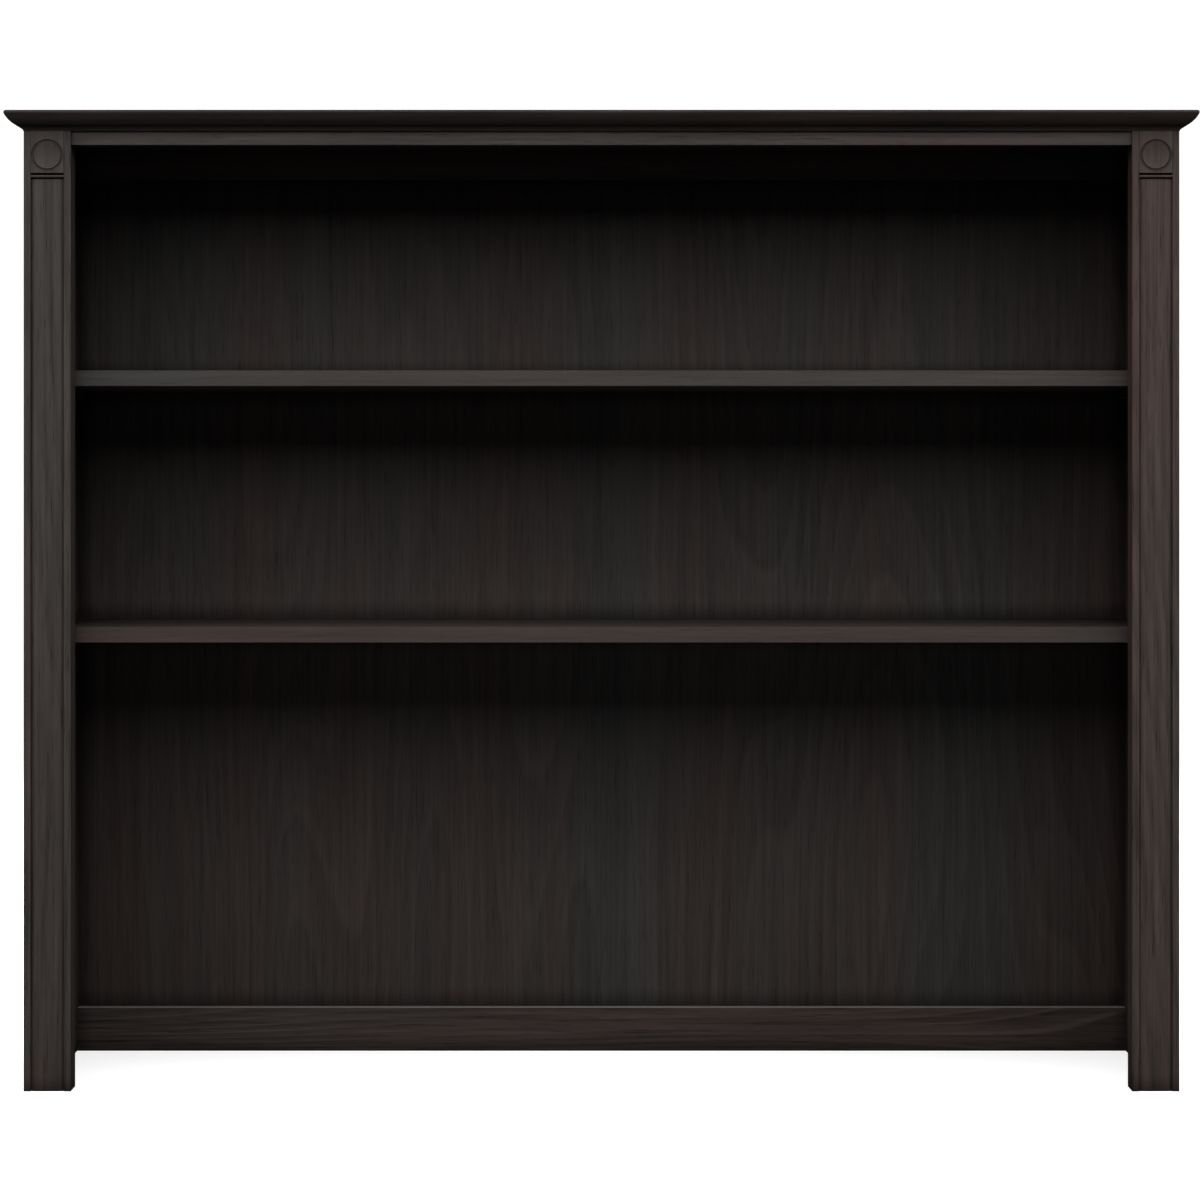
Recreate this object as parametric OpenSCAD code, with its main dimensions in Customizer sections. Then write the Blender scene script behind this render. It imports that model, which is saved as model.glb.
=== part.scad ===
// Open-front bookcase: a wide, low hutch in wood-grain board, with moulded posts,
// corner rosettes, a mitred crown, a fixed lower shelf and a lift-off upper shelf.
// The front faces -Y. The origin is on the floor, under the middle of the outer box.

/* [Carcass] */
// Width over the two side panels
carcass_w = 1179; // [1100:1:1400]
// Height from the floor to the top face
carcass_h = 1000; // [960:1:1300]
// Depth from the post faces to the back edges of the side panels
carcass_d = 307; // [280:1:400]
// Thickness of every wood-grain board
board_t = 16; // [16:0.5:19]
// Thickness of the hardboard back
back_t = 3; // [2:0.5:5]

/* [Posts] */
// Width of each front post
post_w = 48; // [44:1:60]
// Depth of each front post
post_d = 35; // [30:1:40]
// Width of the plain strip along each edge of a post
strip_w = 7; // [5:0.5:8]
// How far the field between the strips lies behind them
field_recess = 1.2; // [0.8:0.1:2]
// Depth of the quirk beside each strip
quirk_depth = 2.4; // [2.2:0.1:3]

/* [Rosettes] */
// Height of the rosette block
rosette_h = 42.8; // [40:0.1:46]
// Height of the disc's centre above the block's lower edge
rosette_centre_h = 18; // [17:0.5:22]
// Radius of the sunk ring around the disc
rosette_ring_r = 15; // [13:0.1:15.2]
// Radius of the ring's round groove
ring_groove_r = 1.4; // [0.8:0.1:1.4]
// Height of the bead under the block
bead_h = 2.8; // [2:0.1:3.6]
// Gap between the bead and the block
bead_gap = 2; // [1:0.1:3]
// How far block and bead stand in front of the strips
rosette_proud = 0.4; // [0:0.1:0.8]

/* [Crown] */
// How far the crown stands out from the case
crown_out = 18.1; // [16:0.1:20]
// Height of the crown
crown_h = 20.2; // [19:0.1:22]
// Radius of the nose at the crown's top edge
nose_r = 2.6; // [2:0.1:3]
// Radius of the swelling below the nose
belly_r = 24; // [20:0.5:28]
// Radius of the cove at the crown's foot
cove_r = 5.2; // [4.5:0.1:5.4]
// Flat under the cove, next to the case
crown_lip = 0.6; // [0.2:0.1:1]

/* [Rails] */
// Height of the front rail under the top
front_rail_h = 18; // [17:0.1:30]
// How far the front rail lies behind the post faces
front_rail_setback = 3; // [1:0.5:6]
// Height of the back rail under the top
back_top_rail_h = 31; // [31:1:60]
// Height of the back rail at the floor
back_bottom_rail_h = 47; // [46:1:80]

/* [Shelves] */
// Underside of the fixed lower shelf above the floor
lower_shelf_z = 456; // [440:1:470]
// Underside of the lift-off upper shelf above the floor
upper_shelf_z = 721; // [715:1:735]
// Distance from the post faces to the front edges of the shelves
shelf_setback = 50; // [48:1:60]
// Thickness of the band on each shelf's front edge
edge_band_t = 0.8; // [0.4:0.1:2]
// Gap at each end of the lift-off shelf
shelf_end_gap = 1; // [0.5:0.1:2]
// Gap behind the lift-off shelf
shelf_back_gap = 2.5; // [1:0.5:5]

/* [Shelf pins] */
// Radius of the pin holes
pin_hole_r = 2.5; // [2.5:0.1:3.5]
// Depth of the pin holes
pin_hole_depth = 10; // [8:0.5:12]
// Distance between pin holes, up and down
pin_pitch = 32; // [25:1:40]
// Distance from the post faces to the front column of pin holes
pin_front_d = 85; // [80:1:100]
// Distance between the two columns of pin holes
pin_column_gap = 180; // [150:1:190]

/* [Fittings] */
// Radius of a cam lock's pocket
cam_r = 7.5; // [7:0.5:7.5]
// Depth of a cam lock's pocket
cam_depth = 12.5; // [12:0.5:13.5]
// Distance from a cam lock's centre to the joint
cam_edge = 24; // [24:1:34]
// Radius of the dowel holes
dowel_r = 4; // [3:0.5:4]
// Depth of a dowel hole in a board's edge
dowel_edge_depth = 20; // [15:1:25]
// Depth of a dowel hole in a board's face
dowel_face_depth = 10; // [8:1:12]
// Radius of a back-panel nail's head
nail_head_r = 2.6; // [2:0.1:4]
// Thickness of a back-panel nail's head
nail_head_t = 0.8; // [0.5:0.1:1.5]

/* [Hidden] */
$fn = 64;

// Amount by which a cutter passes the face it opens.
over = 1;
// Clearance round a fitting in its own hole.
snug = 0.05;

half_w = carcass_w / 2;
inner_x = half_w - board_t;
post_inner_x = half_w - post_w;
total_d = crown_out + carcass_d + back_t + nail_head_t;
front_y = crown_out - total_d / 2;
back_y = front_y + carcass_d;
top_under_z = carcass_h - board_t;
crown_z = carcass_h - crown_h;
rail_front_y = back_y - board_t;

// Post pocket that takes the rosette block and the bead, the gap it leaves below the bead,
// and its play from side to side.
pocket_depth = 6;
bead_foot_gap = 1.4;
inlay_play = 0.4;
pocket_w = post_w - 2 * strip_w;
pocket_h = rosette_h + bead_gap + bead_h + bead_foot_gap;
pocket_z = crown_z - pocket_h;
rosette_z = crown_z - rosette_h;
bead_z = rosette_z - bead_gap - bead_h;
inlay_w = pocket_w - inlay_play;
post_mid_x = half_w - post_w / 2;

// Post field outline: quirk width, and run of the slope from quirk to field.
quirk_w = 1.2;
field_slope = 4;
// Crown section: how far below level the belly meets the nose, in degrees.
nose_turn = 25;
// Shallow dish turned into the rosette's disc.
dish_r = 75;
dish_depth = 1.5;

// Cam bolt: bore in the board's edge, shank, head and thread.
bolt_bore_r = 4;
bolt_shank_r = 3;
bolt_head_r = 3.6;
bolt_head_l = 3;
bolt_start = 4;
thread_r = 2.5;
thread_l = 11;
// Slot in a cam lock for the bolt's head, and its cross recess.
cam_slot_w = 8;
cam_slot_h = 7.6;
cross_l = 8;
cross_w = 1.6;
cross_depth = 2.5;
cap_r = 9;
cap_t = 1;

// Places along the joints, as depths behind the post faces or heights.
top_cam_ds = [105, 240];
top_dowel_d = 175;
post_cam_zs = [90, 540, 880];
post_dowel_zs = [250, 780];
shelf_cam_ds = [95, 255];
shelf_dowel_d = 175;
rail_cam_h = 12;
top_rail_dowel_h = 24;
bottom_rail_dowel_h = 34;

// Turns of a joint's own frame: +X runs along the bolt, +Z out of the cam's pocket.
BOLT_UP = [0, -90, 0];
BOLT_FORWARD = [90, 0, -90];
BOLT_OUT_FROM_BELOW = [180, 0, 0];
BOLT_OUT_FROM_BEHIND = [-90, 0, 0];

// Joints of the right half, each as [point over the joint's axis on the face, turn].
TOP_CAMS = [for (d = top_cam_ds) [[inner_x, front_y + d, top_under_z - cam_edge], BOLT_UP]];
TOP_DOWELS = [[[inner_x, front_y + top_dowel_d, top_under_z - cam_edge], BOLT_UP]];
POST_CAMS = [for (z = post_cam_zs) [[inner_x, front_y + post_d + cam_edge, z], BOLT_FORWARD]];
POST_DOWELS = [for (z = post_dowel_zs) [[inner_x, front_y + post_d + cam_edge, z], BOLT_FORWARD]];
SHELF_CAMS = [for (d = shelf_cam_ds) [[inner_x - cam_edge, front_y + d, lower_shelf_z], BOLT_OUT_FROM_BELOW]];
SHELF_DOWELS = [[[inner_x - cam_edge, front_y + shelf_dowel_d, lower_shelf_z], BOLT_OUT_FROM_BELOW]];
top_rail_z = top_under_z - back_top_rail_h;
TOP_RAIL_CAMS = [[[inner_x - cam_edge, back_y, top_rail_z + rail_cam_h], BOLT_OUT_FROM_BEHIND]];
TOP_RAIL_DOWELS = [[[inner_x - cam_edge, back_y, top_rail_z + top_rail_dowel_h], BOLT_OUT_FROM_BEHIND]];
BOTTOM_RAIL_CAMS = [[[inner_x - cam_edge, back_y, rail_cam_h], BOLT_OUT_FROM_BEHIND]];
BOTTOM_RAIL_DOWELS = [[[inner_x - cam_edge, back_y, bottom_rail_dowel_h], BOLT_OUT_FROM_BEHIND]];
front_rail_back_y = front_y + front_rail_setback + board_t;
front_rail_z = top_under_z - front_rail_h;
FRONT_RAIL_DOWELS = [[[post_inner_x - cam_edge, front_rail_back_y, front_rail_z + front_rail_h / 2],
                      BOLT_OUT_FROM_BEHIND]];
SIDE_CAMS = concat(TOP_CAMS, POST_CAMS);
ALL_CAMS = concat(SIDE_CAMS, SHELF_CAMS, TOP_RAIL_CAMS, BOTTOM_RAIL_CAMS);
ALL_DOWELS = concat(TOP_DOWELS, POST_DOWELS, SHELF_DOWELS, TOP_RAIL_DOWELS,
                    BOTTOM_RAIL_DOWELS, FRONT_RAIL_DOWELS);

// Shelf pins: hole rows, and the spade that carries the shelf.
pin_z = upper_shelf_z - 6;
pin_ds = [pin_front_d, pin_front_d + pin_column_gap];
pin_zs = [pin_z - pin_pitch, pin_z, pin_z + pin_pitch];
flange_r = 5;
flange_t = 1.2;
spade_l = 9;
spade_w = 9;
spade_t = 2;
pin_seat = 8;

// Screws up through the front rail into the top.
screw_xs = [-420, -140, 140, 420];
screw_r = 1.8;
screw_head_r = 3.6;
screw_head_h = 2.4;
screw_l = front_rail_h + 11;
screw_y = front_rail_back_y - board_t / 2;

// Nails through the back: how many along each edge, and how far they reach.
nails_side = 8;
nails_across = 7;
nail_margin = 60;
nail_shank_r = 0.8;
nail_l = 15;
back_edge_gap = 2;

WOOD = "#3b3330";
WOOD_DARK = "#2f2825";
BACK = "#2b2320";
ZINC = "#b9b9b4";
BRONZE = "#433a34";
BEECH = "#c9a877";
CAP = "#2a2422";

// ---------- helpers ----------

module both_sides() {
    children();
    mirror([1, 0, 0]) children();
}

module place(joints) {
    for (joint = joints)
        translate(joint[0]) rotate(joint[1]) children();
}

// Box given by its lowest and highest corners.
module span(low, high) {
    translate(low) cube(high - low);
}

// A rod along a joint's +X, in the middle of the board's thickness.
module joint_rod(r, from, to) {
    translate([from, 0, -board_t / 2]) rotate([0, 90, 0]) cylinder(r = r, h = to - from);
}

module cam_housing_cut() {
    translate([0, 0, -cam_depth]) cylinder(r = cam_r, h = cam_depth + over);
    joint_rod(bolt_bore_r, 0, cam_edge + over);
}

module bolt_pilot_cut() {
    joint_rod(thread_r, cam_edge - over, cam_edge + thread_l);
}

module dowel_edge_cut() {
    joint_rod(dowel_r, cam_edge - dowel_edge_depth, cam_edge + over);
}

module dowel_face_cut() {
    joint_rod(dowel_r, cam_edge - over, cam_edge + dowel_face_depth);
}

// ---------- carcass ----------

module side_panel() {
    difference() {
        span([inner_x, front_y + post_d, 0], [half_w, back_y, top_under_z]);
        place(SIDE_CAMS) cam_housing_cut();
        place(concat(TOP_DOWELS, POST_DOWELS)) dowel_edge_cut();
        place(concat(SHELF_CAMS, TOP_RAIL_CAMS, BOTTOM_RAIL_CAMS)) bolt_pilot_cut();
        place(concat(SHELF_DOWELS, TOP_RAIL_DOWELS, BOTTOM_RAIL_DOWELS)) dowel_face_cut();
        for (d = pin_ds, z = pin_zs)
            translate([inner_x - over, front_y + d, z])
                rotate([0, 90, 0]) cylinder(r = pin_hole_r, h = pin_hole_depth + over);
    }
}

module left_side_panel() { color(WOOD) mirror([1, 0, 0]) side_panel(); }
module right_side_panel() { color(WOOD) side_panel(); }

// Outline of the cut between a post's strips: a quirk at each side and a flat field.
module post_field_outline() {
    inner = strip_w + quirk_w;
    slope_end = inner + field_slope;
    polygon([
        [strip_w, -over], [strip_w, quirk_depth], [inner, quirk_depth],
        [slope_end, field_recess], [post_w - slope_end, field_recess],
        [post_w - inner, quirk_depth], [post_w - strip_w, quirk_depth], [post_w - strip_w, -over]
    ]);
}

module post() {
    difference() {
        span([post_inner_x, front_y, 0], [half_w, front_y + post_d, top_under_z]);
        translate([post_inner_x, front_y, -over])
            linear_extrude(height = pocket_z + over) post_field_outline();
        translate([post_inner_x + strip_w, front_y - over, pocket_z])
            cube([pocket_w, pocket_depth + over, pocket_h]);
        place(POST_CAMS) bolt_pilot_cut();
        place(concat(POST_DOWELS, FRONT_RAIL_DOWELS)) dowel_face_cut();
    }
}

module left_post() { color(WOOD) mirror([1, 0, 0]) post(); }
module right_post() { color(WOOD) post(); }

// Square block with a dished disc inside a sunk ring.
module rosette_block() {
    face_y = front_y - rosette_proud;
    difference() {
        span([post_mid_x - inlay_w / 2, face_y, rosette_z],
             [post_mid_x + inlay_w / 2, front_y + pocket_depth, crown_z]);
        translate([post_mid_x, face_y, rosette_z + rosette_centre_h]) {
            rotate([90, 0, 0])
                rotate_extrude() translate([rosette_ring_r, 0]) circle(r = ring_groove_r, $fn = 32);
            translate([0, dish_depth - dish_r, 0]) sphere(r = dish_r, $fn = 128);
        }
    }
}

module left_rosette_block() { color(WOOD) mirror([1, 0, 0]) rosette_block(); }
module right_rosette_block() { color(WOOD) rosette_block(); }

// Half-round bead that ends the field below the rosette.
module neck_bead() {
    bead_y = front_y + bead_h / 2 - rosette_proud;
    span([post_mid_x - inlay_w / 2, bead_y, bead_z],
         [post_mid_x + inlay_w / 2, front_y + pocket_depth, bead_z + bead_h]);
    translate([post_mid_x - inlay_w / 2, bead_y, bead_z + bead_h / 2])
        rotate([0, 90, 0]) cylinder(r = bead_h / 2, h = inlay_w);
}

module left_neck_bead() { color(WOOD) mirror([1, 0, 0]) neck_bead(); }
module right_neck_bead() { color(WOOD) neck_bead(); }

module top_panel() {
    color(WOOD) difference() {
        span([-half_w, front_y, top_under_z], [half_w, back_y, carcass_h]);
        both_sides() {
            place(TOP_CAMS) bolt_pilot_cut();
            place(TOP_DOWELS) dowel_face_cut();
        }
        for (x = screw_xs)
            translate([x, screw_y, front_rail_z]) cylinder(r = screw_r, h = screw_l + over);
    }
}

// ---------- crown ----------

// Crown section: projection along +X from the case, height along +Y from the crown's foot.
// The belly's arc runs into the nose without a corner.
module crown_section() {
    nose = [crown_out - nose_r, crown_h - nose_r];
    belly = nose - (belly_r - nose_r) * [cos(nose_turn), -sin(nose_turn)];
    touch_h = nose[1] - nose_r * sin(nose_turn);
    difference() {
        union() {
            translate(nose) circle(r = nose_r, $fn = 48);
            translate([0, touch_h - over]) square([nose[0], crown_h - touch_h + over]);
            intersection() {
                translate(belly) circle(r = belly_r, $fn = 256);
                square([crown_out, touch_h]);
            }
            square([crown_lip + cove_r, cove_r]);
        }
        translate([crown_lip + cove_r, 0]) circle(r = cove_r);
    }
}

// Plan outlines that cut the mitres.
module front_crown_plan() {
    polygon([
        [-half_w, front_y], [-half_w - crown_out, front_y - crown_out],
        [half_w + crown_out, front_y - crown_out], [half_w, front_y]
    ]);
}

module side_crown_plan() {
    polygon([
        [half_w, front_y], [half_w + crown_out, front_y - crown_out],
        [half_w + crown_out, back_y], [half_w, back_y]
    ]);
}

module front_crown() {
    run = 2 * (half_w + crown_out);
    color(WOOD_DARK) intersection() {
        translate([0, 0, crown_z]) linear_extrude(height = crown_h) front_crown_plan();
        translate([-run / 2, front_y, crown_z])
            rotate([90, 0, 90]) linear_extrude(height = run) mirror([1, 0]) crown_section();
    }
}

module side_crown() {
    intersection() {
        translate([0, 0, crown_z]) linear_extrude(height = crown_h) side_crown_plan();
        translate([half_w, back_y, crown_z])
            rotate([90, 0, 0]) linear_extrude(height = carcass_d + crown_out) crown_section();
    }
}

module left_crown() { color(WOOD_DARK) mirror([1, 0, 0]) side_crown(); }
module right_crown() { color(WOOD_DARK) side_crown(); }

// ---------- rails and back ----------

module front_top_rail() {
    color(WOOD) difference() {
        span([-post_inner_x, front_y + front_rail_setback, front_rail_z],
             [post_inner_x, front_rail_back_y, top_under_z]);
        both_sides() place(FRONT_RAIL_DOWELS) dowel_edge_cut();
        for (x = screw_xs)
            translate([x, screw_y, front_rail_z - over]) {
                cylinder(r = screw_r, h = front_rail_h + 2 * over);
                cylinder(r = screw_head_r, h = screw_head_h + over);
            }
    }
}

module back_rail(z, h, cams, dowels) {
    difference() {
        span([-inner_x, rail_front_y, z], [inner_x, back_y, z + h]);
        both_sides() {
            place(cams) cam_housing_cut();
            place(dowels) dowel_edge_cut();
        }
    }
}

module back_top_rail() {
    color(WOOD) back_rail(top_rail_z, back_top_rail_h, TOP_RAIL_CAMS, TOP_RAIL_DOWELS);
}

module back_bottom_rail() {
    color(WOOD) back_rail(0, back_bottom_rail_h, BOTTOM_RAIL_CAMS, BOTTOM_RAIL_DOWELS);
}

module back_panel() {
    color(BACK)
        span([-half_w + back_edge_gap, back_y, back_edge_gap],
             [half_w - back_edge_gap, back_y + back_t, carcass_h - back_edge_gap]);
}

// ---------- shelves ----------

module lower_shelf() {
    color(WOOD) difference() {
        span([-inner_x, front_y + shelf_setback + edge_band_t, lower_shelf_z],
             [inner_x, back_y, lower_shelf_z + board_t]);
        both_sides() {
            place(SHELF_CAMS) cam_housing_cut();
            place(SHELF_DOWELS) dowel_edge_cut();
        }
    }
}

module upper_shelf() {
    end_x = inner_x - shelf_end_gap;
    color(WOOD)
        span([-end_x, front_y + shelf_setback + edge_band_t, upper_shelf_z],
             [end_x, back_y - shelf_back_gap, upper_shelf_z + board_t]);
}

module edge_band(end_x, z) {
    span([-end_x, front_y + shelf_setback, z],
         [end_x, front_y + shelf_setback + edge_band_t, z + board_t]);
}

module lower_shelf_edge_band() { color(WOOD) edge_band(inner_x, lower_shelf_z); }
module upper_shelf_edge_band() { color(WOOD) edge_band(inner_x - shelf_end_gap, upper_shelf_z); }

// ---------- fittings ----------

// Spade pin: barrel in the hole, flange on the face, and a web under a flat tongue.
module shelf_pin() {
    rotate([0, 90, 0]) cylinder(r = pin_hole_r - snug, h = pin_seat);
    translate([-flange_t, 0, 0]) rotate([0, 90, 0]) cylinder(r = flange_r, h = flange_t);
    translate([-spade_l, 0, 0]) rotate([0, 90, 0]) cylinder(r = pin_hole_r - snug, h = spade_l);
    translate([-spade_l, -spade_w / 2, upper_shelf_z - pin_z - spade_t])
        cube([spade_l, spade_w, spade_t]);
    translate([-spade_l, -spade_t / 2, 0])
        cube([spade_l, spade_t, upper_shelf_z - pin_z - spade_t / 2]);
}

module shelf_pins() {
    color(BRONZE) both_sides()
        for (d = pin_ds) translate([inner_x, front_y + d, pin_z]) shelf_pin();
}

module cam_lock() {
    difference() {
        translate([0, 0, snug - cam_depth]) cylinder(r = cam_r - snug, h = cam_depth - snug);
        translate([-bolt_head_r, -cam_slot_w / 2, -board_t / 2 - cam_slot_h / 2])
            cube([cam_r + bolt_head_r, cam_slot_w, cam_slot_h]);
        for (turn = [0, 90])
            rotate([0, 0, turn]) translate([-cross_l / 2, -cross_w / 2, -cross_depth])
                cube([cross_l, cross_w, cross_depth + over]);
    }
}

module cam_locks() { color(ZINC) both_sides() place(ALL_CAMS) cam_lock(); }

module cam_bolt() {
    joint_rod(bolt_head_r, bolt_start - bolt_head_l, bolt_start);
    joint_rod(bolt_shank_r, bolt_start - over, cam_edge);
    joint_rod(thread_r - snug, cam_edge - over, cam_edge + thread_l - snug);
}

module cam_bolts() { color(ZINC) both_sides() place(ALL_CAMS) cam_bolt(); }

// Press-on covers over the cam locks that face into the shelves' space.
module cam_caps() {
    color(CAP) both_sides() place(concat(SIDE_CAMS, SHELF_CAMS)) cylinder(r = cap_r, h = cap_t);
}

module wood_dowels() {
    color(BEECH) both_sides() place(ALL_DOWELS)
        joint_rod(dowel_r - snug, cam_edge - dowel_edge_depth + snug, cam_edge + dowel_face_depth - snug);
}

module rail_screws() {
    color(ZINC) for (x = screw_xs) translate([x, screw_y, front_rail_z]) {
        cylinder(r = screw_head_r - snug, h = screw_head_h);
        cylinder(r = screw_r - snug, h = screw_l);
    }
}

module nail() {
    translate([0, back_t, 0]) rotate([-90, 0, 0]) cylinder(r = nail_head_r, h = nail_head_t, $fn = 24);
    translate([0, back_t - nail_l, 0]) rotate([-90, 0, 0])
        cylinder(r = nail_shank_r, h = nail_l + nail_head_t / 2, $fn = 16);
}

module back_panel_nails() {
    side_run = carcass_h - 2 * nail_margin;
    across_run = 2 * (inner_x - nail_margin);
    color(ZINC) {
        both_sides() for (i = [0 : nails_side - 1])
            translate([half_w - board_t / 2, back_y, nail_margin + i * side_run / (nails_side - 1)]) nail();
        for (z = [back_bottom_rail_h / 2, lower_shelf_z + board_t / 2, carcass_h - board_t / 2],
             i = [0 : nails_across - 1])
            translate([i * across_run / (nails_across - 1) - across_run / 2, back_y, z]) nail();
    }
}

left_side_panel();
right_side_panel();
left_post();
right_post();
left_rosette_block();
right_rosette_block();
left_neck_bead();
right_neck_bead();
top_panel();
front_crown();
left_crown();
right_crown();
front_top_rail();
back_top_rail();
back_bottom_rail();
back_panel();
lower_shelf();
lower_shelf_edge_band();
upper_shelf();
upper_shelf_edge_band();
shelf_pins();
cam_locks();
cam_bolts();
cam_caps();
wood_dowels();
rail_screws();
back_panel_nails();
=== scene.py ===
"""Looks for the open bookcase: dark wood-grain laminate, fittings, soft studio light, camera."""

import math

import bpy
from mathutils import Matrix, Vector


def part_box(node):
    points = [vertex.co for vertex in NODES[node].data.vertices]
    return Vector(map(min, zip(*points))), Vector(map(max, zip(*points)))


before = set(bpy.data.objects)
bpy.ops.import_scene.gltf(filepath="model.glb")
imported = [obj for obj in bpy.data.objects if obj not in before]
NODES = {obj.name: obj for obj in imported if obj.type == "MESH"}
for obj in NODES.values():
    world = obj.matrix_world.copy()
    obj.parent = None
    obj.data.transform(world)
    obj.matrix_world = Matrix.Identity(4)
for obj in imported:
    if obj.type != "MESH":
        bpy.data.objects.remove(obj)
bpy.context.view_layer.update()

MM = 0.001
AXES = "XYZ"

# ---------- measured places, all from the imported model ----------

POST_FACE_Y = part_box("left_post")[0].y
BACK_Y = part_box("back_panel")[1].y

# ---------- camera, light and floor ----------

CAMERA_DISTANCE = 4.0  # from the post faces
CAMERA_HEIGHT = 0.612
CAMERA_LENS, CAMERA_SENSOR = 117.65, 36.0
CAMERA_SHIFT = (-0.00125, -0.0904)

# Light panels, each in a plane that leans over the object: the distance in front of the
# post faces and the height of its lower edge, then of its upper edge.
WIDE_LOW, WIDE_HIGH = (3.43, 1.475), (2.255, 3.2)
WIDE_HALF = 2.8
WIDE_RADIANCE = 2.58
WING_LOW, WING_HIGH = (2.745, 2.7), (1.609, 3.544)
WING_FAR = 4.2
WING_RADIANCE = 6.32
OVERHEAD_LOW, OVERHEAD_HIGH = (1.45, 3.5), (-0.1, 3.75)
OVERHEAD_RADIANCE = 3.0
FLOOR_GLOW_SIZE = (2.4, 1.6)
FLOOR_GLOW_AHEAD = 0.9
FLOOR_GLOW_LIFT = 3 * MM
FLOOR_GLOW_RADIANCE = 0.30

# Lights for the sides and the back, which the photo's view doesn't show.
SIDE_LIGHT_PLACE, SIDE_LIGHT_TARGET = (3.2, 1.2, 2.2), (0.0, 0.1, 0.5)
SIDE_LIGHT_SIZE = (1.6, 2.4)
REAR_LIGHT_BEHIND = 2.8
REAR_LIGHT_HEIGHT, REAR_TARGET_HEIGHT = 2.4, 0.4
REAR_LIGHT_SIZE = (3.4, 2.2)
SIDE_AND_REAR_RADIANCE = 6.0

WORLD_STRENGTH = 1.2
WHITE = (1.0, 1.0, 1.0, 1.0)


def radiance_power(radiance, size):
    """Watts of a rectangular area light that shows this radiance."""
    return radiance * math.pi * size[0] * size[1]


def area_light(name, place, target, size, radiance):
    lamp = bpy.data.lights.new(name, "AREA")
    lamp.shape = "RECTANGLE"
    lamp.size, lamp.size_y = size
    lamp.energy = radiance_power(radiance, size)
    obj = bpy.data.objects.new(name, lamp)
    bpy.context.scene.collection.objects.link(obj)
    obj.location = place
    obj.rotation_euler = (Vector(target) - Vector(place)).to_track_quat("-Z", "Y").to_euler()
    obj.visible_camera = False
    return obj


def make_camera():
    data = bpy.data.cameras.new("camera")
    data.lens = CAMERA_LENS
    data.sensor_width = CAMERA_SENSOR
    data.shift_x, data.shift_y = CAMERA_SHIFT
    camera = bpy.data.objects.new("camera", data)
    camera.location = (0.0, POST_FACE_Y - CAMERA_DISTANCE, CAMERA_HEIGHT)
    camera.rotation_euler = (math.radians(90), 0.0, 0.0)
    bpy.context.scene.collection.objects.link(camera)
    bpy.context.scene.camera = camera


def leaning_panel(name, left, right, low, high, radiance):
    """Light panel between two side positions, over the object's front."""
    low_edge = Vector(((left + right) / 2, POST_FACE_Y - low[0], low[1]))
    high_edge = Vector(((left + right) / 2, POST_FACE_Y - high[0], high[1]))
    middle = (low_edge + high_edge) / 2
    rise = high_edge - low_edge
    facing = Vector((0.0, rise.z, -rise.y))
    area_light(name, middle, middle + facing, (right - left, rise.length), radiance)


def make_lights():
    leaning_panel("wide_light", -WIDE_HALF, WIDE_HALF, WIDE_LOW, WIDE_HIGH, WIDE_RADIANCE)
    leaning_panel("left_wing_light", -WING_FAR, -WIDE_HALF, WING_LOW, WING_HIGH, WING_RADIANCE)
    leaning_panel("right_wing_light", WIDE_HALF, WING_FAR, WING_LOW, WING_HIGH, WING_RADIANCE)
    leaning_panel("overhead_light", -WIDE_HALF, WIDE_HALF, OVERHEAD_LOW, OVERHEAD_HIGH,
                  OVERHEAD_RADIANCE)
    glow_place = Vector((0.0, POST_FACE_Y - FLOOR_GLOW_AHEAD, FLOOR_GLOW_LIFT))
    area_light("floor_glow", glow_place, glow_place + Vector((0.0, 0.0, 1.0)),
               FLOOR_GLOW_SIZE, FLOOR_GLOW_RADIANCE)
    across, behind, height = SIDE_LIGHT_PLACE
    for side, name in ((-1, "left_side_light"), (1, "right_side_light")):
        area_light(name, (side * across, behind, height), SIDE_LIGHT_TARGET, SIDE_LIGHT_SIZE,
                   SIDE_AND_REAR_RADIANCE)
    area_light("rear_light", (0.0, BACK_Y + REAR_LIGHT_BEHIND, REAR_LIGHT_HEIGHT),
               (0.0, BACK_Y, REAR_TARGET_HEIGHT), REAR_LIGHT_SIZE, SIDE_AND_REAR_RADIANCE)


def make_world():
    world = bpy.data.worlds.new("white_world")
    bpy.context.scene.world = world
    world.use_nodes = True
    background = world.node_tree.nodes["Background"]
    background.inputs["Color"].default_value = WHITE
    background.inputs["Strength"].default_value = WORLD_STRENGTH
    for kind in ("diffuse", "glossy", "transmission", "scatter"):
        setattr(world.cycles_visibility, kind, False)
    bpy.context.scene.view_settings.view_transform = "Standard"
    bpy.context.scene.view_settings.look = "None"


# ---------- node graphs ----------

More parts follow.
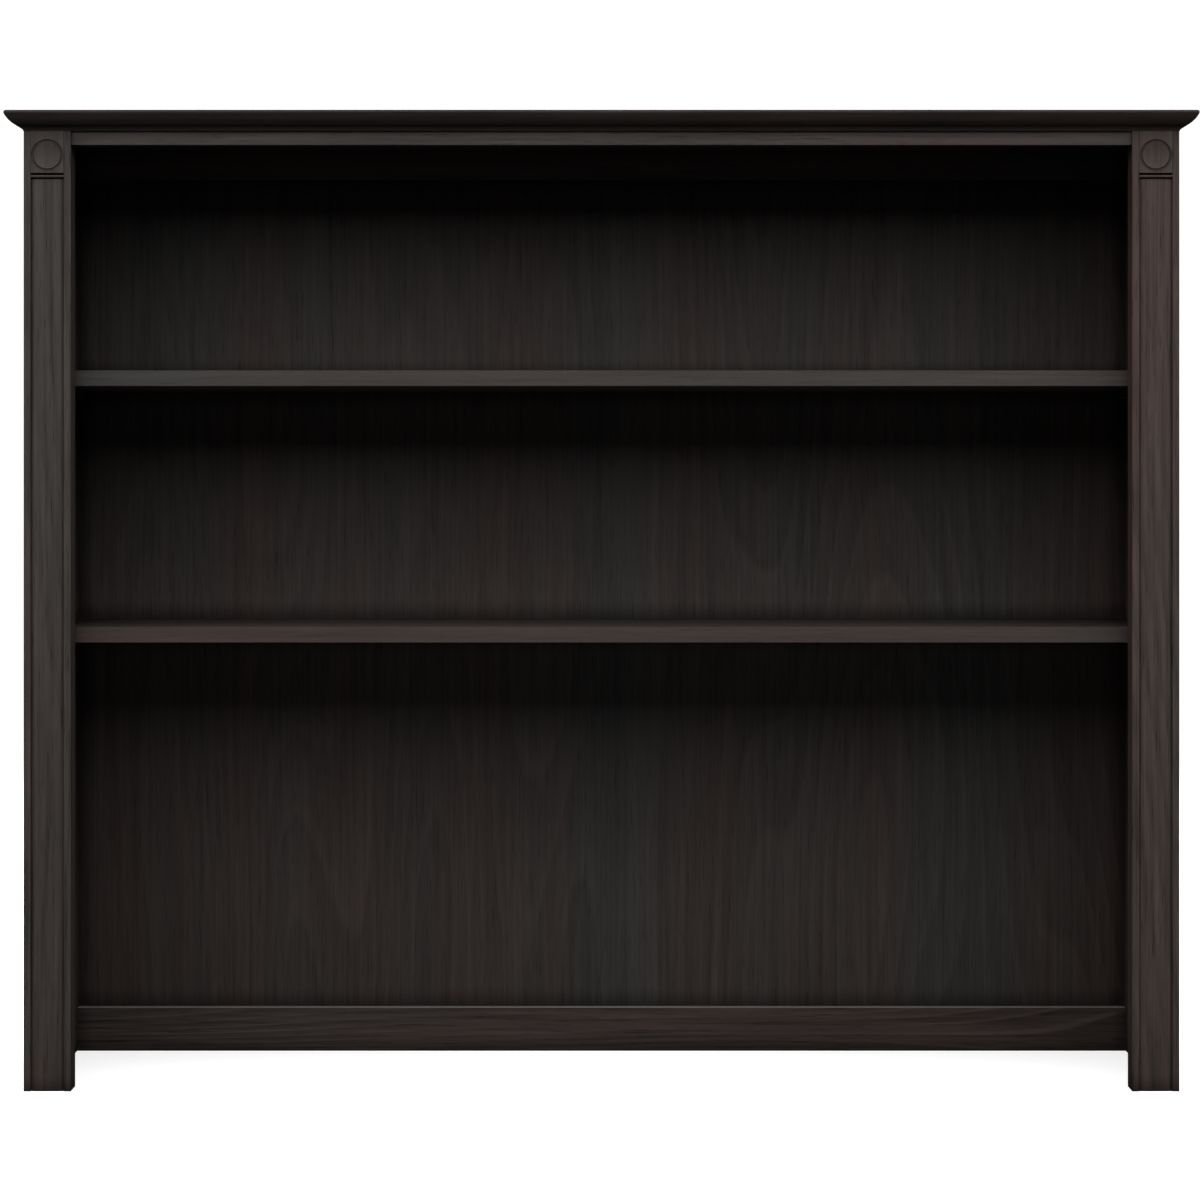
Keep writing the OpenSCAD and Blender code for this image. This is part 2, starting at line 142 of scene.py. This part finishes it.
class Graph:
    """Short calls that build one material's nodes."""

    def __init__(self, name):
        self.material = bpy.data.materials.new(name)
        self.material.use_nodes = True
        self.tree = self.material.node_tree
        self.tree.nodes.clear()

    def add(self, kind, inputs=None, **settings):
        node = self.tree.nodes.new(kind)
        for key, value in settings.items():
            setattr(node, key, value)
        for key, value in (inputs or {}).items():
            self.feed(node.inputs[key], value)
        return node

    def feed(self, socket, value):
        if isinstance(value, bpy.types.NodeSocket):
            self.tree.links.new(value, socket)
        else:
            socket.default_value = value

    def math(self, operation, *values, clamp=False):
        node = self.add("ShaderNodeMath", operation=operation, use_clamp=clamp)
        for socket, value in zip(node.inputs, values):
            self.feed(socket, value)
        return node.outputs[0]

    def coords(self):
        return self.add("ShaderNodeTexCoord").outputs["Object"]

    def mapped(self, vector, scale, offset=(0.0, 0.0, 0.0)):
        return self.add("ShaderNodeMapping",
                        {"Vector": vector, "Scale": scale, "Location": offset}).outputs[0]

    def noise(self, vector, scale=1.0, detail=2.0, roughness=0.5):
        return self.add("ShaderNodeTexNoise",
                        {"Vector": vector, "Scale": scale, "Detail": detail,
                         "Roughness": roughness}).outputs["Fac"]

    def remap(self, value, low, high, to_low=0.0, to_high=1.0, smooth=False):
        node = self.add("ShaderNodeMapRange",
                        {"Value": value, "From Min": low, "From Max": high,
                         "To Min": to_low, "To Max": to_high},
                        interpolation_type="SMOOTHSTEP" if smooth else "LINEAR")
        return node.outputs["Result"]

    def product(self, first, second):
        return self.math("MULTIPLY", first, second)

    def equal_parts(self, value):
        """The same value on all three channels."""
        return self.add("ShaderNodeCombineXYZ", {"X": value, "Y": value, "Z": value}).outputs[0]

    def mix_colour(self, factor, first, second):
        """Mixes two colours. The mix node's colour sockets share names, so they go by number."""
        node = self.add("ShaderNodeMix", data_type="RGBA")
        self.feed(node.inputs[0], factor)
        self.feed(node.inputs[6], first)
        self.feed(node.inputs[7], second)
        return node.outputs[2]

    def scale_colour(self, colour, factor):
        node = self.add("ShaderNodeVectorMath", operation="SCALE")
        self.feed(node.inputs[0], colour[:3] if isinstance(colour, tuple) else colour)
        self.feed(node.inputs["Scale"], factor)
        return node.outputs[0]

    def painted_crease_shade(self, reach, deepest):
        """Painted shade: darkening in corners and grooves, where shadow falls."""
        node = self.add("ShaderNodeAmbientOcclusion", {"Distance": reach}, samples=4)
        return self.remap(node.outputs["AO"], 0.5, 1.0, deepest, 1.0)

    def upward(self):
        """How far a face looks up in the object's own frame."""
        normal = self.add("ShaderNodeTexCoord").outputs["Normal"]
        return self.add("ShaderNodeSeparateXYZ", {0: normal}).outputs["Z"]

    def bump(self, height, distance, strength):
        return self.add("ShaderNodeBump",
                        {"Height": height, "Distance": distance, "Strength": strength}).outputs[0]

    def surface(self, inputs):
        shader = self.add("ShaderNodeBsdfPrincipled", inputs)
        output = self.add("ShaderNodeOutputMaterial")
        self.tree.links.new(shader.outputs[0], output.inputs["Surface"])
        return self.material


def along(axis, across_scale, along_scale):
    """Scale vector of a texture stretched along the grain."""
    scale = [across_scale] * 3
    scale[AXES.index(axis)] = along_scale
    return tuple(scale)


# ---------- wood ----------

COOL = (0.0462, 0.0420, 0.0390, 1.0)
WARM = (0.0600, 0.0378, 0.0315, 1.0)
# Pale grey of the painted highlight on faces that look up.
PAINTED_HIGHLIGHT_GREY = (0.24, 0.225, 0.21, 1.0)

# Texture scale of each part of the figure, across the grain and along it, per metre.
SWAY_SCALE = (5.0, 1.6)
RING_SCALE = (4.6, 0.62)
STREAK_SCALE = (330.0, 6.0)
THREAD_SCALE = (120.0, 2.5)
PORE_SCALE = (900.0, 34.0)
BAND_SCALE = (9.0, 0.8)
PATCH_SCALE = (3.4, 0.9)
RUB_SCALE = (60.0, 14.0)

# How strongly each part lightens and darkens the wood.
RING_WEIGHT, STREAK_WEIGHT, THREAD_WEIGHT, PORE_WEIGHT = 0.13, 0.95, 0.55, 0.28
DARKEST = 0.3
SWAY_REACH = 14 * MM
PORE_RELIEF = 0.12 * MM
SEED_STEP = (1.37, 2.11, 0.73)

# How far from a corner its painted shade starts, and the share of the colour left in the corner.
PAINTED_CREASE = (18 * MM, 0.42)
BACK_PAINTED_CREASE = (22 * MM, 0.30)
SHELF_PAINTED_CREASE = (45 * MM, 0.25)
CROWN_PAINTED_CREASE = (30 * MM, 0.18)


class Grain:
    """One board's printed figure, running along an axis, as values in its material's nodes."""

    def __init__(self, g, axis, seed, ring_count):
        self.g = g
        self.axis = axis
        self.place = g.mapped(g.coords(), (1.0, 1.0, 1.0), tuple(seed * step for step in SEED_STEP))
        shift = g.scale_colour(g.equal_parts(self.layer(self.place, SWAY_SCALE)), SWAY_REACH)
        self.path = g.add("ShaderNodeVectorMath", {0: self.place, 1: shift}).outputs[0]
        rise = self.layer(self.path, RING_SCALE, detail=1.0, roughness=0.4)
        self.rings = g.math("FRACT", g.product(rise, ring_count))
        self.streaks = self.layer(self.path, STREAK_SCALE, detail=3.0, roughness=0.6)
        self.threads = self.layer(self.path, THREAD_SCALE, detail=2.0, roughness=0.55)
        self.pores = g.remap(self.layer(self.path, PORE_SCALE, detail=1.0), 0.60, 0.70)

    def layer(self, place, scale, **texture):
        return self.g.noise(self.g.mapped(place, along(self.axis, *scale)), **texture)

    def ring_line(self, start, peak, fall):
        """Each growth ring as a line that rises from start to peak and drops after fall."""
        return self.g.product(self.g.remap(self.rings, start, peak, smooth=True),
                              self.g.remap(self.rings, 1.0, fall, smooth=True))

    def value(self, figure, arches):
        """Lightness about 1. Arches adds patches of thin pale rings."""
        g = self.g
        total = 1.0
        for layer, weight in ((self.ring_line(0.0, 0.72, 0.86), RING_WEIGHT),
                              (self.streaks, STREAK_WEIGHT), (self.threads, THREAD_WEIGHT)):
            swing = g.product(g.math("SUBTRACT", layer, 0.5), weight * figure)
            total = g.math("ADD", total, swing)
        total = g.math("SUBTRACT", total, g.product(self.pores, PORE_WEIGHT * figure))
        if arches:
            patch = g.remap(self.layer(self.place, PATCH_SCALE, detail=1.0), 0.50, 0.60)
            pale_rings = g.product(patch, self.ring_line(0.66, 0.84, 0.92))
            total = g.math("ADD", total, g.product(pale_rings, arches))
        return g.math("MAXIMUM", total, DARKEST)

    def rub_and_highlight(self, wear_and_highlight):
        """Patchy lightening of an edge: partly rubbing wear, partly a painted highlight on the
        rounded edge.
        """
        rub = self.g.remap(self.layer(self.place, RUB_SCALE, detail=3.0), 0.4, 0.62)
        return self.g.math("ADD", 1.0, self.g.product(rub, wear_and_highlight))

    def hue(self, warmth):
        """Broad bands between the cool and the warm brown."""
        bands = self.g.remap(self.layer(self.place, BAND_SCALE, detail=3.0), 0.34, 0.66)
        warm = self.g.math("ADD", self.g.product(bands, 0.8), warmth, clamp=True)
        return self.g.mix_colour(warm, COOL, WARM)

    def roughness(self, level):
        rough = self.g.math("ADD", level - 0.03, self.g.product(self.streaks, 0.14))
        return self.g.math("ADD", rough, self.g.product(self.pores, 0.12))

    def relief(self):
        height = self.g.math("SUBTRACT", self.g.product(self.streaks, 0.6), self.pores)
        return self.g.bump(height, PORE_RELIEF, 0.6)


def wood(name, axis, seed, tone=1.0, figure=1.0, wear_and_highlight=0.0, warmth=0.0, ring_count=26.0,
         arches=0.0, pale_top=0.0, painted_crease=PAINTED_CREASE, roughness=0.5, specular=0.25):
    """Dark laminate printed with open-grained wood.

    figure scales the grain's contrast and arches the patches of thin pale rings. The edge
    lightening is partly rubbing wear and partly a painted highlight; the top setting paints a
    highlight by mixing faces that look up towards pale grey; and the crease setting paints shade
    into corners and grooves, which also dims the sheen there.
    """
    g = Graph(name)
    grain = Grain(g, axis, seed, ring_count)
    value = g.product(grain.value(figure, arches), tone)
    if wear_and_highlight:
        value = g.product(value, grain.rub_and_highlight(wear_and_highlight))
    # Painted shade: an occlusion node darkens corners and grooves, and the same factor dims the
    # sheen below.
    shade = g.painted_crease_shade(*painted_crease)
    colour = g.scale_colour(g.scale_colour(grain.hue(warmth), value), shade)
    # Painted highlight: faces that look up are mixed towards pale grey, on top of the painted
    # shade.
    if pale_top:
        colour = g.mix_colour(g.remap(g.upward(), 0.1, 0.5, 0.0, pale_top), colour, PAINTED_HIGHLIGHT_GREY)
    return g.surface({"Base Color": colour, "Roughness": grain.roughness(roughness),
                      "Specular IOR Level": g.product(shade, specular),
                      "Normal": grain.relief()})


def metal(name, colour, roughness):
    g = Graph(name)
    blotch = g.noise(g.coords(), scale=160.0, detail=4.0)
    scratch = g.noise(g.mapped(g.coords(), (2200.0, 300.0, 900.0)), detail=2.0)
    value = g.remap(blotch, 0.3, 0.7, 0.82, 1.05)
    rough = g.math("ADD", g.product(scratch, 0.25), roughness - 0.12)
    return g.surface({"Base Color": g.scale_colour(colour, value), "Metallic": 1.0,
                      "Roughness": rough, "Normal": g.bump(scratch, 0.03 * MM, 0.5)})


def moulded_plastic(name, colour):
    g = Graph(name)
    stipple = g.noise(g.coords(), scale=1800.0, detail=2.0)
    cloud = g.noise(g.coords(), scale=90.0, detail=2.0)
    value = g.remap(cloud, 0.3, 0.7, 0.9, 1.1)
    return g.surface({"Base Color": g.scale_colour(colour, value),
                      "Roughness": g.remap(stipple, 0.3, 0.7, 0.42, 0.56),
                      "Specular IOR Level": 0.4, "Normal": g.bump(stipple, 0.03 * MM, 0.4)})


def beech(name):
    g = Graph(name)
    flecks = g.noise(g.mapped(g.coords(), (160.0, 900.0, 900.0)), detail=3.0)
    value = g.remap(flecks, 0.3, 0.7, 0.78, 1.1)
    return g.surface({"Base Color": g.scale_colour((0.52, 0.36, 0.19), value),
                      "Roughness": g.remap(flecks, 0.3, 0.7, 0.5, 0.68),
                      "Normal": g.bump(flecks, 0.05 * MM, 0.5)})


# ---------- floor ----------

# The white floor shows shadows near the object and fades into the white world further out.
FLOOR_REACH = 20.0
FLOOR_NEAR, FLOOR_FAR = 0.75, 1.8
FLOOR_NEAR_GLOW, FLOOR_FAR_GLOW = 0.68, 1.15


def make_floor():
    g = Graph("white_floor")
    mottle = g.noise(g.coords(), scale=6.0, detail=3.0)
    shade = g.remap(mottle, 0.3, 0.7, 0.79, 0.81)
    radius = g.add("ShaderNodeVectorMath", {0: g.coords()}, operation="LENGTH").outputs["Value"]
    glow = g.remap(radius, FLOOR_NEAR, FLOOR_FAR, FLOOR_NEAR_GLOW, FLOOR_FAR_GLOW, smooth=True)
    material = g.surface({"Base Color": g.equal_parts(shade), "Roughness": 0.9,
                          "Specular IOR Level": 0.0, "Emission Color": WHITE,
                          "Emission Strength": glow})
    mesh = bpy.data.meshes.new("floor")
    corners = [(x * FLOOR_REACH, y * FLOOR_REACH, 0.0)
               for x, y in ((-1, -1), (1, -1), (1, 1), (-1, 1))]
    mesh.from_pydata(corners, [], [(0, 1, 2, 3)])
    mesh.materials.append(material)
    floor = bpy.data.objects.new("floor", mesh)
    floor.visible_diffuse = False
    floor.visible_glossy = False
    bpy.context.scene.collection.objects.link(floor)


# ---------- shape finish ----------

WELD_REACH = 0.01 * MM
FLAT_ANGLE = math.radians(0.5)
SHARP_ANGLE = math.radians(25)


def close_mesh(obj):
    """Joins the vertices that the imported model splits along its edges."""
    weld = obj.modifiers.new("weld", "WELD")
    weld.merge_threshold = WELD_REACH


def round_edges(obj, width, segments):
    """Rounds a carried-over node's edges. The mesh itself stays as it is."""
    flat = obj.modifiers.new("flat", "DECIMATE")
    flat.decimate_type = "DISSOLVE"
    flat.angle_limit = FLAT_ANGLE
    bevel = obj.modifiers.new("bevel", "BEVEL")
    bevel.width = width
    bevel.segments = segments
    bevel.limit_method = "ANGLE"
    bevel.angle_limit = SHARP_ANGLE
    bevel.miter_outer = "MITER_ARC"


def even_normals(obj):
    even = obj.modifiers.new("even", "WEIGHTED_NORMAL")
    even.weight = 100


def dress(names, material, width=0.0, segments=2, edge_material=None):
    """Gives nodes their material, and rounds their edges by width in a material of its own."""
    for name in names:
        obj = NODES[name]
        obj.data.materials.clear()
        obj.data.materials.append(material)
        close_mesh(obj)
        if width:
            for face in obj.data.polygons:
                face.use_smooth = True
            round_edges(obj, width, segments)
            even_normals(obj)
        if edge_material:
            obj.data.materials.append(edge_material)
            obj.modifiers["bevel"].material = 1


# ---------- what each node wears ----------

# Edge lightening on the posts: partly rubbing wear, partly a painted highlight.
RUBBED_AND_HIGHLIGHTED = {"wear_and_highlight": 0.15}
POLISHED = {"roughness": 0.3, "specular": 0.6}
EDGE_SEGMENTS = 3


def dress_edged(name, width, axis, seed, edge, **looks):
    """Dresses one node whose rounded edges are either lighter than its faces, partly from rubbing
    wear and partly as a painted highlight, or shinier.
    """
    dress([name], wood("wood_" + name, axis, seed, **looks), width, EDGE_SEGMENTS,
          edge_material=wood("edge_" + name, axis, seed, **looks, **edge))


def dress_posts():
    dress_edged("left_post", 1.2 * MM, "Z", 1.0, RUBBED_AND_HIGHLIGHTED, tone=0.92, figure=1.6, warmth=0.1)
    dress_edged("right_post", 1.2 * MM, "Z", 2.0, RUBBED_AND_HIGHLIGHTED, tone=0.98, figure=1.6, warmth=0.4)
    dress(["left_rosette_block", "right_rosette_block", "left_neck_bead", "right_neck_bead"],
          wood("wood_rosette", "Z", 3.0), 0.4 * MM)


def dress_top():
    dress(["top_panel"], wood("wood_top", "X", 5.0, tone=0.75, arches=0.2), 0.5 * MM)
    # The crown's deep painted shade darkens its cove and lip under the overhang, and dims their
    # sheen.
    crown_looks = {"tone": 0.42, "figure": 1.3, "warmth": 0.5, "painted_crease": CROWN_PAINTED_CREASE,
                   "specular": 0.2}
    dress(["front_crown"], wood("wood_front_crown", "X", 6.0, **crown_looks), 0.25 * MM)
    dress(["left_crown", "right_crown"],
          wood("wood_side_crown", "Y", 7.0, **crown_looks), 0.25 * MM)
    dress(["front_top_rail"],
          wood("wood_front_rail", "X", 8.0, tone=1.05, figure=1.3, warmth=0.1), 0.8 * MM,
          EDGE_SEGMENTS)


def dress_sides_and_back():
    dress(["left_side_panel", "right_side_panel"],
          wood("wood_side", "Z", 4.0, arches=0.25), 0.5 * MM)
    dress_edged("back_top_rail", 1.2 * MM, "X", 9.0, POLISHED, tone=0.91)
    # The bottom rail's top face is painted pale grey, a painted highlight along its top edge.
    dress_edged("back_bottom_rail", 2.6 * MM, "X", 10.0, POLISHED, tone=0.91, figure=1.9,
                warmth=0.4, ring_count=60.0, arches=0.5, pale_top=1.0)
    # The back panel has deeper painted shade in its corners.
    dress(["back_panel"],
          wood("wood_back", "Z", 11.0, tone=0.80, figure=1.2, ring_count=34.0, arches=0.1,
               painted_crease=BACK_PAINTED_CREASE), 0.3 * MM)


def dress_shelves():
    # Shelf tops get a wide painted shade towards the back panel, where the parts above shade them.
    dress(["lower_shelf", "upper_shelf"],
          wood("wood_shelf", "X", 12.0, tone=0.78, painted_crease=SHELF_PAINTED_CREASE), 0.4 * MM)
    dress(["upper_shelf_edge_band"],
          wood("wood_upper_band", "X", 13.0, tone=1.08, figure=0.7, warmth=-0.2), 0.3 * MM)
    dress(["lower_shelf_edge_band"],
          wood("wood_lower_band", "X", 14.0, tone=0.98, figure=0.7, warmth=0.15), 0.3 * MM)


def dress_fittings():
    zinc = metal("zinc", (0.55, 0.56, 0.58), 0.38)
    dress(["rail_screws"], zinc, 0.15 * MM)
    dress(["cam_locks", "cam_bolts", "back_panel_nails"], zinc)
    dress(["shelf_pins"], metal("dark_bronze", (0.06, 0.05, 0.042), 0.5), 0.15 * MM)
    dress(["cam_caps"], moulded_plastic("cap_plastic", (0.028, 0.024, 0.022)), 0.25 * MM)
    dress(["wood_dowels"], beech("beech"))


make_camera()
make_world()
make_lights()
make_floor()
dress_posts()
dress_top()
dress_sides_and_back()
dress_shelves()
dress_fittings()
